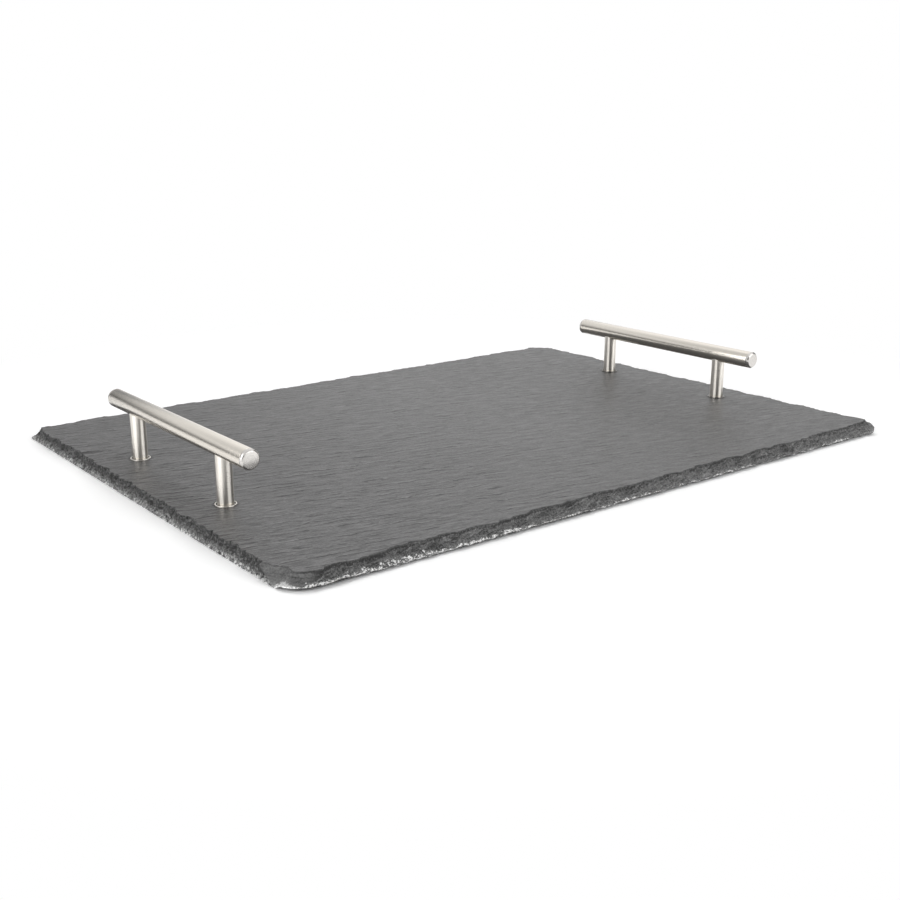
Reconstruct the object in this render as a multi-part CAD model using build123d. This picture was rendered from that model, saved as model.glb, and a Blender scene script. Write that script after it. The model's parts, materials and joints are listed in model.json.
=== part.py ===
from build123d import *
import os
import random

# Slate: a split slab whose four sides are dressed by hand, leaving a sloping flaked edge
BOARD_LENGTH = 400.0
BOARD_DEPTH = 300.0
SLATE_THICKNESS = 6.0
FRONT_LEFT_ROUND = 15.0
FRONT_RIGHT_ROUND = 6.0
BACK_RIGHT_ROUND = 17.0
BACK_LEFT_ROUND = 7.0
LONG_SIDE_SLOPE_RUN = 7.0
SHORT_SIDE_SLOPE_RUN = 3.2
SLOPE_VARIATION = 0.3
EDGE_LIP_HEIGHT = 0.9
EDGE_LIP_UNDERCUT = 0.6
FLAKE_LENGTH = 7.0
FLAKE_DEPTH = 1.0
FLAKE_SEED = 11

# Feet: self-adhesive pads under the corners
FOOT_DIAMETER = 16.0
FOOT_HEIGHT = 1.0
FOOT_INSET = 34.0
FOOT_CHAMFER = 0.2

# Handles: one tube on two posts near each end of the board
HANDLE_INSET = 25.0
HANDLE_RISE = 33.0
POST_SPACING = 96.0
POST_DIAMETER = 8.0
BAR_LENGTH = 150.0
BAR_DIAMETER = 10.0
BAR_WALL = 1.0
CAP_RIM = 2.0
CAP_CHAMFER = 0.9
CAP_SPIGOT = 7.0
INSERT_LENGTH = 16.0
WASHER_DIAMETER = 10.6
WASHER_THICKNESS = 0.8
WASHER_CHAMFER = 0.25

# Threads are plain cylinders of their nominal size
THREAD_DIAMETER = 4.0
STUD_ENGAGEMENT = 6.0
SCREW_ENGAGEMENT = 8.0
SCREW_HEAD_DIAMETER = 8.0
SCREW_HEAD_RECESS = 0.2
DRIVE_WIDTH = 4.4
DRIVE_SLOT = 1.0
DRIVE_DEPTH = 1.2

# Clearances, all on the radius or along one direction
THREAD_GAP = 0.05
PASSAGE_GAP = 0.3
PLUG_GAP = 0.05
SADDLE_GAP = 0.05
HEAD_GAP = 0.05
TAP_RUNOUT = 1.5

# Places worked out from the sizes above
SLATE_BOTTOM = FOOT_HEIGHT
SLATE_TOP = SLATE_BOTTOM + SLATE_THICKNESS
BAR_AXIS = SLATE_TOP + HANDLE_RISE - BAR_DIAMETER / 2
BAR_BORE = BAR_DIAMETER - 2 * BAR_WALL
TUBE_LENGTH = BAR_LENGTH - 2 * CAP_RIM
HANDLE_X = BOARD_LENGTH / 2 - HANDLE_INSET
POST_Y = POST_SPACING / 2
POST_BOTTOM = SLATE_TOP + WASHER_THICKNESS
STUD_TOP = BAR_AXIS - BAR_BORE / 2 + STUD_ENGAGEMENT
TAPPED_DIAMETER = THREAD_DIAMETER + 2 * THREAD_GAP
PASSAGE_DIAMETER = THREAD_DIAMETER + 2 * PASSAGE_GAP
HEAD_FACE = SLATE_BOTTOM + SCREW_HEAD_RECESS
HEAD_HEIGHT = (SCREW_HEAD_DIAMETER - THREAD_DIAMETER) / 2
SCREW_TIP = POST_BOTTOM + SCREW_ENGAGEMENT

SIDES = {"left": -1, "right": 1}
ENDS = {"front": -1, "rear": 1}
FROM_BELOW = (Align.CENTER, Align.CENTER, Align.MIN)


def upright(diameter, bottom, top):
    """A round bar standing on the height bottom and reaching the height top."""
    return Pos(0, 0, bottom) * Cylinder(diameter / 2, top - bottom, align=FROM_BELOW)


def lengthwise(diameter, start, end):
    """A round bar along Y from start to end, on the origin's axis."""
    return Pos(0, start, 0) * Rot(X=-90) * Cylinder(diameter / 2, end - start, align=FROM_BELOW)


def board_outline():
    """The board's outer line seen from above, with its four corners rounded one by one."""
    plan = Rectangle(BOARD_LENGTH, BOARD_DEPTH)
    rounds = {
        (-1, -1): FRONT_LEFT_ROUND,
        (1, -1): FRONT_RIGHT_ROUND,
        (1, 1): BACK_RIGHT_ROUND,
        (-1, 1): BACK_LEFT_ROUND,
    }
    for (way_x, way_y), radius in rounds.items():
        corner = Vector(way_x * BOARD_LENGTH / 2, way_y * BOARD_DEPTH / 2)
        plan = fillet(plan.vertices().sort_by_distance(corner)[0], radius)
    return plan.face().outer_wire()


def slope_run(along):
    """How far the sloping edge reaches in where the outline runs along the given direction."""
    long_side_share = along.X**2
    return SHORT_SIDE_SLOPE_RUN + (LONG_SIDE_SLOPE_RUN - SHORT_SIDE_SLOPE_RUN) * long_side_share


def dressed_section(outline, height, insets):
    """A level section of the slab, set in from the outline by one inset at each flake."""
    points = []
    for flake, inset in enumerate(insets):
        share = flake / len(insets)
        along = outline % share
        inward = Vector(-along.Y, along.X)
        spot = (outline @ share) + inward * inset
        points.append((spot.X, spot.Y, height))
    return make_face(Polyline(*points, close=True))


def slate_board():
    """The slab: every second point of its lip keeps the outline, the others are flaked back."""
    outline = board_outline()
    flakes = 2 * round(outline.length / (2 * FLAKE_LENGTH))
    dice = random.Random(FLAKE_SEED)
    lip = []
    brow = []
    for flake in range(flakes):
        lip.append(dice.uniform(0, FLAKE_DEPTH) * (flake % 2))
        unevenness = 1 + dice.uniform(-SLOPE_VARIATION, SLOPE_VARIATION)
        brow.append(slope_run(outline % (flake / flakes)) * unevenness)
    base = [inset + EDGE_LIP_UNDERCUT for inset in lip]
    sections = [
        dressed_section(outline, SLATE_BOTTOM, base),
        dressed_section(outline, SLATE_BOTTOM + EDGE_LIP_HEIGHT, lip),
        dressed_section(outline, SLATE_TOP, brow),
    ]
    slab = loft(sections, ruled=True)
    sink_radius = SCREW_HEAD_DIAMETER / 2 + HEAD_GAP + SCREW_HEAD_RECESS
    sink = Pos(0, 0, SLATE_BOTTOM) * Cone(sink_radius, 0, sink_radius, align=FROM_BELOW)
    hole = sink + upright(PASSAGE_DIAMETER, SLATE_BOTTOM, SLATE_TOP)
    for way_x in SIDES.values():
        for way_y in ENDS.values():
            slab -= Pos(way_x * HANDLE_X, way_y * POST_Y) * hole
    return slab


def foot():
    pad = upright(FOOT_DIAMETER, 0, FOOT_HEIGHT)
    return chamfer(pad.edges().sort_by(Axis.Z)[0], FOOT_CHAMFER)


def bar():
    """A handle's tube, on the origin's Y axis, with a passage for each post's stud below."""
    tube = lengthwise(BAR_DIAMETER, -TUBE_LENGTH / 2, TUBE_LENGTH / 2)
    tube -= lengthwise(BAR_BORE, -TUBE_LENGTH / 2, TUBE_LENGTH / 2)
    for way_y in ENDS.values():
        tube -= Pos(0, way_y * POST_Y) * upright(PASSAGE_DIAMETER, -BAR_DIAMETER, 0)
    return tube


def end_cap(way_y):
    """A turned plug: its rim closes the tube's end, its spigot sits in the bore."""
    rim_start = TUBE_LENGTH / 2
    rim = lengthwise(BAR_DIAMETER, rim_start, rim_start + CAP_RIM)
    rim = chamfer(rim.edges().group_by(Axis.Y)[-1], CAP_CHAMFER)
    spigot = lengthwise(BAR_BORE - 2 * PLUG_GAP, rim_start - CAP_SPIGOT, rim_start)
    plug = rim + spigot
    return plug if way_y > 0 else plug.rotate(Axis.Z, 180)


def bar_insert():
    """A slug inside the tube over a post, drilled from below for the post's stud."""
    slug = lengthwise(BAR_BORE - 2 * PLUG_GAP, -INSERT_LENGTH / 2, INSERT_LENGTH / 2)
    return slug - upright(TAPPED_DIAMETER, -BAR_BORE, STUD_TOP - BAR_AXIS + THREAD_GAP)


def post():
    """A post from its washer to the bar: saddled top with a stud, tapped hole below."""
    body = upright(POST_DIAMETER, POST_BOTTOM, BAR_AXIS)
    saddle = lengthwise(BAR_DIAMETER + 2 * SADDLE_GAP, -POST_DIAMETER, POST_DIAMETER)
    body -= Pos(0, 0, BAR_AXIS) * saddle
    body += upright(THREAD_DIAMETER, BAR_AXIS - BAR_DIAMETER, STUD_TOP)
    return body - upright(TAPPED_DIAMETER, POST_BOTTOM, SCREW_TIP + TAP_RUNOUT)


def post_washer():
    disc = upright(WASHER_DIAMETER, SLATE_TOP, POST_BOTTOM)
    disc = chamfer(disc.edges().sort_by(Axis.Z)[-1], WASHER_CHAMFER)
    return disc - upright(PASSAGE_DIAMETER, SLATE_TOP, POST_BOTTOM)


def handle_screw():
    """A countersunk machine screw driven up through the slate and the washer into the post."""
    head_radius = SCREW_HEAD_DIAMETER / 2
    head = Pos(0, 0, HEAD_FACE) * Cone(head_radius, THREAD_DIAMETER / 2, HEAD_HEIGHT, align=FROM_BELOW)
    screw = head + upright(THREAD_DIAMETER, HEAD_FACE, SCREW_TIP)
    slot = Pos(0, 0, HEAD_FACE) * Box(DRIVE_WIDTH, DRIVE_SLOT, DRIVE_DEPTH, align=FROM_BELOW)
    return screw - slot - Rot(Z=90) * slot


pieces = {"slate_board": slate_board()}
washers = []
screws = []
for side, way_x in SIDES.items():
    pieces[f"{side}_bar"] = Pos(way_x * HANDLE_X, 0, BAR_AXIS) * bar()
    for end, way_y in ENDS.items():
        corner = f"{side}_{end}"
        post_place = Pos(way_x * HANDLE_X, way_y * POST_Y)
        foot_x = way_x * (BOARD_LENGTH / 2 - FOOT_INSET)
        foot_y = way_y * (BOARD_DEPTH / 2 - FOOT_INSET)
        pieces[f"{corner}_end_cap"] = Pos(way_x * HANDLE_X, 0, BAR_AXIS) * end_cap(way_y)
        pieces[f"{corner}_insert"] = post_place * Pos(0, 0, BAR_AXIS) * bar_insert()
        pieces[f"{corner}_post"] = post_place * post()
        pieces[f"{corner}_foot"] = Pos(foot_x, foot_y) * foot()
        washers.append(post_place * post_washer())
        screws.append(post_place * handle_screw())
pieces["post_washers"] = Compound(children=washers)
pieces["handle_screws"] = Compound(children=screws)

os.makedirs("parts", exist_ok=True)
for node, piece in pieces.items():
    export_step(piece, f"parts/{node}.step")
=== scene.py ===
import json
import math

import bmesh
import bpy
from mathutils import Matrix, Vector, noise


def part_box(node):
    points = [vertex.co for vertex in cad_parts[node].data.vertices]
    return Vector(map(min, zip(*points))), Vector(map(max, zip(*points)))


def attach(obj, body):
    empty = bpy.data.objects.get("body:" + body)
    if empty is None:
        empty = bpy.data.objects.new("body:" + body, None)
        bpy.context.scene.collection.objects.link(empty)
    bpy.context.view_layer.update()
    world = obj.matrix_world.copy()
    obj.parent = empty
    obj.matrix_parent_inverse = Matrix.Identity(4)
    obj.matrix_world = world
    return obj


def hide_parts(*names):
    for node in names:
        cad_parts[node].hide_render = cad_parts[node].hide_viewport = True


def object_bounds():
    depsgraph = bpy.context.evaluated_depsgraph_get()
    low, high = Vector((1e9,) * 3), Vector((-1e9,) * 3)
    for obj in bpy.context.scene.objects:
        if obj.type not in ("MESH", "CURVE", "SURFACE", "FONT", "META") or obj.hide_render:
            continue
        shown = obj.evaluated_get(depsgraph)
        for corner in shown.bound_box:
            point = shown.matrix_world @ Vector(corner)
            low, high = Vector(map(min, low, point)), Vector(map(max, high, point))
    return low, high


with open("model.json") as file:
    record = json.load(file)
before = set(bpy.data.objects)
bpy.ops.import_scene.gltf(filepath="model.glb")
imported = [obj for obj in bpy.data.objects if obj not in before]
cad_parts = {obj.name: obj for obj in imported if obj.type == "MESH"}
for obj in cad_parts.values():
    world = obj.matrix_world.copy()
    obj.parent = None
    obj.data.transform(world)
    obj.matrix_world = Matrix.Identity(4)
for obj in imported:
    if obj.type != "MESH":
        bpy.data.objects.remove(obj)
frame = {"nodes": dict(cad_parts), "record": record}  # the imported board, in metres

cadLow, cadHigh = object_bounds()
sides = {"left": -1, "right": 1}
ends = {"front": -1, "rear": 1}


def middle(node):  # of a CAD node's box
    return [(low + high) / 2 for low, high in zip(*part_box(node))]


handleX = middle("right_bar")[0]
barZ = middle("right_bar")[2]
postY = middle("right_rear_post")[1]
holes = [(wayX * handleX, wayY * postY) for wayX in sides.values() for wayY in ends.values()]
print("frame loaded with", len(frame["nodes"]), "nodes")


class Wire:  # a socket that takes part in Python maths
    def __init__(self, tree, socket=None):
        self.tree = tree
        self.socket = socket

    def node(self, kind, settings, values, output=0):  # settings first, then its sockets
        made = self.tree.nodes.new(kind)
        for name, value in settings.items():
            if name == "stops":
                fillRamp(made.color_ramp, value)
            else:
                setattr(made, name, value)
        for name, value in values.items():
            if isinstance(value, Wire):
                self.tree.links.new(value.socket, made.inputs[name])
            else:
                made.inputs[name].default_value = value
        return Wire(self.tree, made.outputs[output] if made.outputs else None)

    def math(self, operation, first, second=0.0):
        return self.node("ShaderNodeMath", {"operation": operation}, {0: first, 1: second})

    def __add__(self, other):
        return self.math("ADD", self, other)

    __radd__ = __add__

    def __sub__(self, other):
        return self.math("SUBTRACT", self, other)

    def __rsub__(self, other):
        return self.math("SUBTRACT", other, self)

    def __mul__(self, other):
        return self.math("MULTIPLY", self, other)

    __rmul__ = __mul__

    def __truediv__(self, other):
        return self.math("DIVIDE", self, other)

    def __pow__(self, other):
        return self.math("POWER", self, other)

    def __abs__(self):
        return self.math("ABSOLUTE", self)

    def least(self, other):
        return self.math("MINIMUM", self, other)

    def most(self, other):
        return self.math("MAXIMUM", self, other)

    def step(self, low, high):  # 0 below low, 1 above high, smooth between
        settings = {"interpolation_type": "SMOOTHSTEP"}
        return self.node("ShaderNodeMapRange", settings, {"Value": self, "From Min": low, "From Max": high})

    def band(self, rise, fall):  # 1 between a rise and a fall, 0 outside them
        return self.step(*rise) * (1 - self.step(*fall))

    def rise(self, amount, low, high):  # 0 below low, the amount above high
        return amount * self.step(low, high)

    def fall(self, amount, low, high):  # the amount below low, 0 above high
        return amount * (1 - self.step(low, high))

    def blend(self, first, second):  # first at 0, second at 1
        return first * (1 - self) + second * self

    def peak(self, centre, reach):  # 1 at the centre, 0 from the reach on
        return (1 - abs(self - centre) / reach).most(0.0)

    def tint(self, first, second):  # first colour at 0, second at 1
        return self.node("ShaderNodeMix", {"data_type": "RGBA"}, {0: self, 6: first, 7: second}, 2)

    def axis(self, index):
        return self.node("ShaderNodeSeparateXYZ", {}, {0: self}, index)


def fillRamp(ramp, stops):
    while len(ramp.elements) < len(stops):
        ramp.elements.new(0.5)
    for element, (place, colour) in zip(ramp.elements, stops):
        element.position = place
        element.color = colour


def grey(level, warm=0.0):  # a grey, a little warmer or cooler
    return (level * (1 + warm), level, level * (1 - warm), 1.0)


def newMaterial(name):  # with its maths and the piece's own coordinates
    material = bpy.data.materials.new(name)
    material.use_nodes = True
    material.node_tree.nodes.clear()
    wire = Wire(material.node_tree)
    return material, wire, wire.node("ShaderNodeTexCoord", {}, {}, 3)


def finishSurface(wire, values):
    shader = wire.node("ShaderNodeBsdfPrincipled", {}, values)
    wire.node("ShaderNodeOutputMaterial", {}, {"Surface": shader})


def grained(wire, place, look, turn=0.0):  # coordinates in units of a pattern's own size
    rotation = (0.0, look.get("lean", 0.0), turn + look.get("turn", 0.0))
    values = {"Vector": place, "Rotation": rotation, "Scale": look["size"]}
    return wire.node("ShaderNodeMapping", {"vector_type": "TEXTURE"}, values)


def pattern(wire, place, look, turn=0.0):  # noise about 0.5; sizes along X, Y and Z
    return wire.node("ShaderNodeTexNoise", {}, {
        "Vector": grained(wire, place, look, turn), "Scale": 1.0, "Detail": look.get("detail", 2.0),
        "Roughness": look.get("roughness", 0.5), "Distortion": look.get("warp", 0.0),
    })


def patterns(wire, place, looks, turn=0.0):
    return {name: pattern(wire, place, look, turn) for name, look in looks.items()}


def weighed(grain, shares, zero=0.5):  # patterns added up by their shares
    return sum(share * (grain[name] - zero) for name, share in shares.items())


def cells(wire, place, look, feature, output):  # distance from borders, or each cell's level
    values = {"Vector": grained(wire, place, look), "Scale": 1.0}
    return wire.node("ShaderNodeTexVoronoi", {"feature": feature}, values, output)


def bumped(wire, height, distance):
    return wire.node("ShaderNodeBump", {}, {"Height": height, "Distance": distance, "Strength": 1.0})


def fromPosts(place):  # distance from the axis of the nearest post
    across = abs(place.axis(0)) - handleX
    along = abs(place.axis(1)) - postY
    return (across ** 2 + along ** 2) ** 0.5


grainTurn = math.radians(-12.0)  # the cleft's direction, from the long side
cleftLook = {
    "layer": {"size": (0.0046, 0.0046, 0.0046)},  # how far apart the lines lie
    "grain": {
        "bend": {"size": (0.030, 0.014, 0.014)},
        "waver": {"size": (0.0090, 0.0034, 0.0034), "detail": 3.0, "roughness": 0.6},
        "kept": {"size": (0.0150, 0.0050, 0.0050), "detail": 3.0, "roughness": 0.6},
    },
    "shifts": {"bend": 2.2, "waver": 1.1},  # in layers
    "keptFrom": (0.40, 0.66),
    "dark": (0.45, 0.16), "light": (0.70, 0.16),  # where in a layer a line lies, and half its width
}


def cleftLines(wire, place):  # where thin layers end, a light line by each dark one: relief, and painted shade and highlight of each step
    look = cleftLook
    grain = patterns(wire, place, look["grain"], grainTurn)
    across = grained(wire, place, look["layer"], grainTurn).axis(1)
    saw = wire.math("FRACT", across + weighed(grain, look["shifts"], 0.0))
    kept = grain["kept"].step(*look["keptFrom"])
    return saw.peak(*look["dark"]) * kept, saw.peak(*look["light"]) * kept


faceLook = {
    "grain": {
        "cloud": {"size": (0.13, 0.06, 0.06)},
        "ripple": {"size": (0.0100, 0.0036, 0.0036), "warp": 0.4},
        "streak": {
            "size": (0.0075, 0.0013, 0.0013), "turn": 0.04, "detail": 3.0, "roughness": 0.65, "warp": 0.3,
        },
        "grit": {"size": (0.0012, 0.0008, 0.0008)},
        "fleck": {"size": (0.0026, 0.0018, 0.0018), "detail": 1.0},
    },
    "evenTone": {"cloud": 0.3, "grit": 1.8},  # the same all over
    "cleftTone": {"ripple": 0.4, "streak": 1.8},  # stronger on the left
    # painted shade and highlight along the steps where layers end
    "paintedStepShading": {"dark": -0.52, "light": 0.33},
    "gloss": {"ripple": 0.3, "streak": 0.3},
    "lineGloss": {"dark": 0.10},
    "evenRelief": {"grit": 0.06},  # in millimetres
    "cleftRelief": {"ripple": 0.20, "streak": 0.13, "dark": -0.09, "light": 0.04},
    "bold": 2.5, "plainer": (2.0, -0.22, 0.14),  # the cleft's strength, less to the right
    "dull": (0.14, 0.02, 0.12),  # the right is a little darker
    "fleckTone": (0.8, 0.80, 0.85),
    "washerShadowFrom": (0.0050, 0.0053), "washerShadowTo": (0.0060, 0.0072),  # painted contact shadow round each washer
    "washerShadowDark": 0.7, "darkest": 0.3,
}


def faceTone(wire, place):  # the cleft face: tone about 1, roughness, relief
    look = faceLook
    grain = patterns(wire, place, look["grain"], grainTurn)
    grain["dark"], grain["light"] = cleftLines(wire, place)
    bold = look["bold"] - place.axis(0).rise(*look["plainer"])
    dull = place.axis(0).rise(*look["dull"])
    fleck = grain["fleck"].rise(*look["fleckTone"])
    # a painted contact shadow round each washer
    ring = look["washerShadowDark"] * fromPosts(place).band(look["washerShadowFrom"], look["washerShadowTo"])
    cleft = weighed(grain, look["cleftTone"]) + weighed(grain, look["paintedStepShading"], 0.0)
    tone = 1 - dull + fleck + weighed(grain, look["evenTone"]) + bold * cleft
    rough = weighed(grain, look["gloss"]) + weighed(grain, look["lineGloss"], 0.0)
    relief = bold * weighed(grain, look["cleftRelief"], 0.0) + weighed(grain, look["evenRelief"], 0.0)
    return tone.most(look["darkest"]) * (1 - ring), rough, relief


teethLook = {
    "grain": {
        "blow": {"size": (0.022, 0.022, 0.5)},
        "reach": {"size": (0.0030, 0.0030, 0.5), "detail": 3.0, "roughness": 0.75},
        "tooth": {"size": (0.0008, 0.0008, 0.0042), "lean": math.radians(25), "detail": 1.0, "warp": 0.3},
    },
    "lightBlow": (0.55, 0.50, 0.75),  # here and there along the front
    "struck": [  # harder ones: where, how widely, how hard
        (-0.147, 0.050, 1.4), (-0.188, 0.012, 0.5), (-0.084, 0.016, 1.3),
    ],
    "rim": 0.09, "rimFrom": (0.38, 0.52),  # heights are shares of the slope
    "spared": (0.05, 0.08, 0.14),  # the right part has only single spots
    "tall": (0.16, 0.50, 0.72), "hit": (0.42, 0.32, 0.62),
    "rise": (0.0, 0.12), "toothFrom": (0.40, 0.55),
    "level": 0.50, "crumbLevel": 0.7,
    "end": (0.8, 0.180, 0.196),  # little of it on the right end
}


def struckAlong(place, blow):  # how hard the front was hit here, 0 to 1
    hit = blow.rise(*teethLook["lightBlow"])
    for spot, reach, hard in teethLook["struck"]:
        hit = hit.most(hard * place.axis(0).peak(spot, reach))
    return hit.least(1.0)


def teethAlong(wire, place, depth, crumb):  # crushed white stone, up from the lower rim
    look = teethLook
    grain = patterns(wire, place, look["grain"])
    reach = grain["reach"]
    rim = look["rim"] - place.axis(0).rise(*look["spared"])
    crushed = rim * reach.step(*look["rimFrom"]) + reach.rise(*look["tall"])
    crushed = crushed + struckAlong(place, grain["blow"]) * reach.rise(*look["hit"])
    end = 1 - place.axis(0).rise(*look["end"])
    level = look["level"] + look["crumbLevel"] * crumb
    return (depth - 1 + crushed).step(*look["rise"]) * grain["tooth"].step(*look["toothFrom"]) * level * end


flakedLook = {
    "grain": {
        "layers": {
            "size": (0.0070, 0.0070, 0.0007), "lean": math.radians(-8),
            "detail": 3.0, "roughness": 0.6, "warp": 0.8,
        },
        "lump": {"size": (0.0110, 0.0110, 0.0040), "warp": 0.5},
        "sand": {"size": (0.0007, 0.0007, 0.0006), "detail": 1.0},
        "fan": {"size": (0.0010, 0.0010, 0.0040), "lean": math.radians(25), "roughness": 0.6, "warp": 0.4},
    },
    "rims": {"size": (0.0150, 0.0150, 0.0058), "lean": math.radians(-12)},  # pale ridges between the scars
    "rimWidth": 0.07, "rimFrom": (0.44, 0.60), "rimTone": 0.9, "rimRelief": 0.2,
    "tone": 0.22,  # painted shade just under the brow, at the left
    "rightTone": (0.22, -0.15, -0.06),  # what is added further right
    "browShadeLift": (0.55, 0.03, 0.16),  # and below the painted shade under the brow
    "lowTone": 0.26, "lowEnds": (0.45, 0.95),  # and in the lower part
    "shares": {"lump": 1.7, "crumb": 1.8},
    "upperShares": {"layers": 3.0, "sand": 2.4},
    "lowerShares": {"layers": 1.6, "sand": 3.6, "fan": 2.0},
    "glint": (0.4, 1.1), "glintFrom": (0.64, 0.74),  # pale grains, above and below
    "darkest": 0.20,
    "relief": {"lump": 0.5, "layers": 0.6, "crumb": 0.4},
}


def flakedTone(wire, place, depth, crumb):  # long sides: layered scars, sandy and paler below
    look = flakedLook
    grain = patterns(wire, place, look["grain"])
    grain["crumb"] = crumb
    low = depth.step(*look["lowEnds"])
    border = cells(wire, place, look["rims"], "DISTANCE_TO_EDGE", 0)
    ridge = (1 - border.step(0.0, look["rimWidth"])) * grain["layers"].step(*look["rimFrom"])
    # the band right under the brow stays dark: painted shade
    tone = look["tone"] + place.axis(0).rise(*look["rightTone"]) + depth.rise(*look["browShadeLift"])
    tone = tone + look["lowTone"] * low + weighed(grain, look["shares"])
    tone = tone + low.blend(weighed(grain, look["upperShares"]), weighed(grain, look["lowerShares"]))
    glint = low.blend(*look["glint"]) * grain["sand"].step(*look["glintFrom"])
    relief = weighed(grain, look["relief"], 0.0) + look["rimRelief"] * ridge
    return tone.most(look["darkest"]) + glint + look["rimTone"] * ridge, relief


crumbledLook = {
    "spots": {"size": (0.0015, 0.0015, 0.0012)},
    "gapWidth": 0.16, "gapTone": 0.40,  # dark gaps between the grains
    "tone": 0.25, "grainTone": 1.0, "crumbTone": 1.5,
    "gain": 1.20,  # times this at the brow, and more further down: partly paler crumbled stone, partly painted light bounced from the floor
    "paleAndBounceGains": [(1.2, 0.40, 0.60), (3.0, 0.60, 0.85), (2.0, 0.85, 1.0)],
    "darkest": 0.15,
    "gapRelief": 0.4, "crumbRelief": 0.5, "grainRelief": 0.2,
}


def crumbledTone(wire, place, depth, crumb):  # short sides: broken to grains, paler below, partly as painted light bounced from the floor
    look = crumbledLook
    grain = cells(wire, place, look["spots"], "F1", 1).axis(0)
    gaps = cells(wire, place, look["spots"], "DISTANCE_TO_EDGE", 0).step(0.0, look["gapWidth"])
    tone = look["tone"] + look["grainTone"] * grain + look["crumbTone"] * (crumb - 0.5)
    tone = tone * gaps.blend(look["gapTone"], 1.0)
    gain = look["gain"] + sum(depth.rise(*more) for more in look["paleAndBounceGains"])
    relief = look["gapRelief"] * gaps + look["crumbRelief"] * crumb + look["grainRelief"] * grain
    return (tone * gain).most(look["darkest"]), relief


scarLook = {
    "grain": {
        "contour": {"size": (0.0090, 0.0090, 0.0009), "turn": 0.6, "warp": 0.6},
        "patch": {"size": (0.0042, 0.0042, 0.0020)},
        "sand": {"size": (0.0008, 0.0008, 0.0007), "detail": 1.0},
        "jag": {"size": (0.0016, 0.0016, 0.0030), "roughness": 0.6},
    },
    "rightFrom": (-0.058, -0.050),  # the scar's right half, by x - y
    "tone": 1.15,
    "leftBrow": (0.4, 0.03, 0.10), "leftFoot": (1.1, 0.35, 0.85),  # paler parts of the left half
    "rightBrowShade": (0.6, 0.02, 0.14),  # painted shade under the brow of the right half
    "fold": 0.5, "foldAt": 0.22, "foldWander": 0.25, "foldWidth": 0.06,
    "foot": (0.25, 0.35, 0.7),
    "shares": {"contour": 1.3, "patch": 1.2, "crumb": 1.2, "sand": 1.5},
    "relief": {"contour": 0.3, "patch": 0.3, "crumb": 0.3},
    "wedge": (-0.0570, 0.011),  # where the white lip is highest, and half its width
    "lip": 0.97, "lipRise": 0.17, "lipJag": 0.6, "jagMiddle": 0.27,
    "white": 4.2, "whiteFrom": (0.0, 0.04), "fullFrom": (0.02, 0.16), "rimShare": 0.35,
    "whiteLevel": 0.25, "whiteCrumb": 1.5,
}


def whiteLip(along, depth, crumb, jag):  # the scar's crushed lip, 0 off it
    look = scarLook
    height = look["lipRise"] + look["lipJag"] * (jag - look["jagMiddle"])
    above = depth - look["lip"] + along.peak(*look["wedge"]) * height
    full = above.step(*look["fullFrom"]).blend(look["rimShare"], 1.0)
    return above.step(*look["whiteFrom"]) * full * (look["whiteLevel"] + look["whiteCrumb"] * crumb)


def scarTone(wire, place, depth, crumb):  # the near corner's one smooth scar, white along its lip
    look = scarLook
    grain = patterns(wire, place, look["grain"])
    grain["crumb"] = crumb
    along = place.axis(0) - place.axis(1)  # from the left side to the front
    right = along.step(*look["rightFrom"])
    leftTone = depth.fall(*look["leftBrow"]) + depth.rise(*look["leftFoot"])
    fold = depth.peak(look["foldAt"] + look["foldWander"] * grain["patch"], look["foldWidth"])
    # painted shade under the right half's brow, and a darker fold
    rightTone = depth.fall(*look["rightBrowShade"]) + look["fold"] * fold
    tone = look["tone"] + leftTone * (1 - right) - rightTone * right - depth.rise(*look["foot"])
    tone = tone + weighed(grain, look["shares"])
    white = look["white"] * whiteLip(along, depth, crumb, grain["jag"])
    return tone + white, weighed(grain, look["relief"], 0.0)


slateFinish = {
    "stone": 0.0752,
    "brokenStone": 0.106,
    "bruise": 0.92,  # crushed stone along the lower edge
    "warmFace": 0.01, "warmEdge": 0.008,  # more red on the face, less blue on the edges
    "roughness": 0.42, "edgeRougher": 0.25,
    "crumb": {"size": (0.0014, 0.0014, 0.0011), "roughness": 0.6},
    "edgeFrom": (0.0, 0.05), "edgeTo": (1.05, 1.12),  # in edgeDepth: 0 at the brow, 1 at the lip
    # painted shade in the hollow under the lip, by edgeDepth
    "hollowShadeFrom": (1.0, 1.08), "hollowShadeTo": (1.2, 1.3), "hollowShadeDark": 0.85,
    "reliefUnit": 0.001,  # metres for 1 of relief
}


def brokenTone(wire, place, depth, grainy, smooth):  # the dressed edges: tone about 1, relief
    crumb = pattern(wire, place, slateFinish["crumb"])
    flaked, flakedRelief = flakedTone(wire, place, depth, crumb)
    crumbled, crumbledRelief = crumbledTone(wire, place, depth, crumb)
    scar, scarRelief = scarTone(wire, place, depth, crumb)
    tone = smooth.blend(grainy.blend(flaked, crumbled), scar)
    relief = smooth.blend(grainy.blend(flakedRelief, crumbledRelief), scarRelief)
    teeth = teethAlong(wire, place, depth, crumb) * (1 - grainy * (1 - smooth))
    return tone + teeth * (slateFinish["bruise"] / slateFinish["brokenStone"]), relief


edgeMarks = ("edgeDepth", "shortSide", "smoothScar")  # attributes of the slate's corners


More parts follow.
